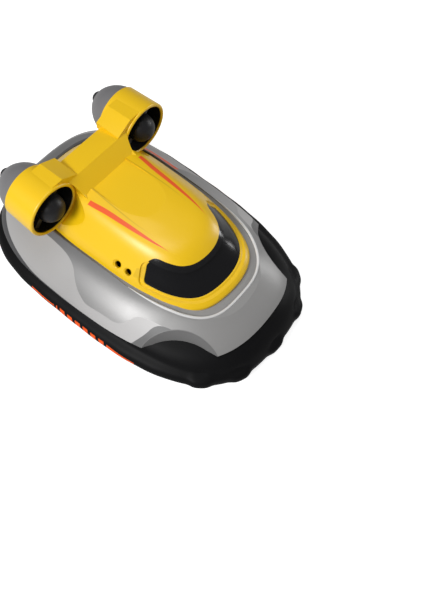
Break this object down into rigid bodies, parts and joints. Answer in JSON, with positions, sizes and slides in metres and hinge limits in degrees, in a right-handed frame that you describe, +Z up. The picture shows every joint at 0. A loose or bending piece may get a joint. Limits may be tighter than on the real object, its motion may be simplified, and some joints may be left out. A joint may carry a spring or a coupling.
{
  "type": "rc boat",
  "caption": "Small radio-controlled hovercraft boat with a soft black skirt, grey deck, yellow cabin and two ducted fans on a rear wing.",
  "frame": {"origin": "ground plane under the middle of the boat's bounding box", "axes": "+Z up, -Y towards the bow, +Y towards the stern along the fan axes, +X to port"},
  "size_m": [0.1286, 0.1909, 0.077],
  "materials": {
    "skirt_black": "satin soft moulded skirt",
    "tray_black": "matt moulding",
    "deck_grey": "satin moulding",
    "yellow": "gloss moulding",
    "gloss_black": "high gloss",
    "battery_wrap": "shrink wrap",
    "steel": "plain",
    "board_green": "solder resist",
    "black": "satin moulding",
    "nozzle_grey": "satin moulding"
  },
  "bodies": {
    "hull": {"skirt": "skirt_black", "hull_tray": "tray_black", "deck_shell": "deck_grey", "cabin_shell": "yellow", "windscreen": "gloss_black", "tail_wing": "yellow", "battery": "battery_wrap", "battery_cover": "tray_black", "battery_cover_screws": "steel", "tray_screws": "steel", "circuit_board": "board_green", "switch_housing": "black", "left_duct": "yellow", "right_duct": "yellow", "left_nozzle": "nozzle_grey", "right_nozzle": "nozzle_grey", "left_motor_mount": "black", "right_motor_mount": "black", "left_nose_cone": "black", "right_nose_cone": "black", "left_motor": "steel", "right_motor": "steel"},
    "left_fan": {"left_motor_shaft": "steel", "left_propeller": "black", "left_tail_cone": "black"},
    "right_fan": {"right_motor_shaft": "steel", "right_propeller": "black", "right_tail_cone": "black"},
    "switch": {"switch_knob": "black"}
  },
  "joints": [
    {"name": "left_fan_spin", "type": "hinge", "parent": "hull", "child": "left_fan", "pos_m": [0.037, 0, 0.06], "axis": [0, 1, 0], "continuous": true},
    {"name": "right_fan_spin", "type": "hinge", "parent": "hull", "child": "right_fan", "pos_m": [-0.037, 0, 0.06], "axis": [0, 1, 0], "continuous": true},
    {"name": "power_switch_slide", "type": "slide", "parent": "hull", "child": "switch", "axis": [1, 0, 0], "range_m": [-0.0018, 0.0018]}
  ]
}
